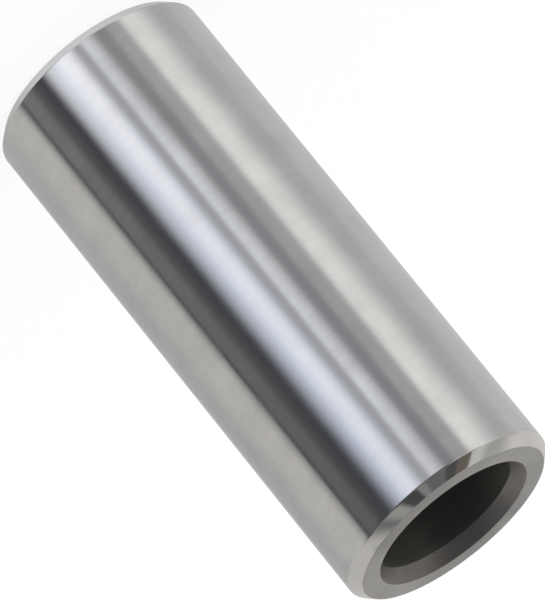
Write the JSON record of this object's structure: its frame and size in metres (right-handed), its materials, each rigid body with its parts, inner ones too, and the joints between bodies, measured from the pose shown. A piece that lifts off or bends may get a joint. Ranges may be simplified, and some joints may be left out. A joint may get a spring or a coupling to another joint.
{
  "type": "gudgeon pin",
  "caption": "Hollow ground steel pin with chamfered ends that joins a piston to the small end of its connecting rod.",
  "frame": {"origin": "centre of the lower end face, on the pin's axis, at the plane that the pin stands on", "axes": "+Z along the pin's axis from the lower end face to the upper one; X and Y are any two radii at right angles, as the pin is round"},
  "size_m": [0.022, 0.022, 0.0555],
  "materials": {
    "ground_steel": "case-hardened steel, ground and superfinished outside, finely turned chamfers and end faces, duller drawn bore"
  },
  "bodies": {
    "root": {"gudgeon_pin": "ground_steel"}
  },
  "joints": []
}
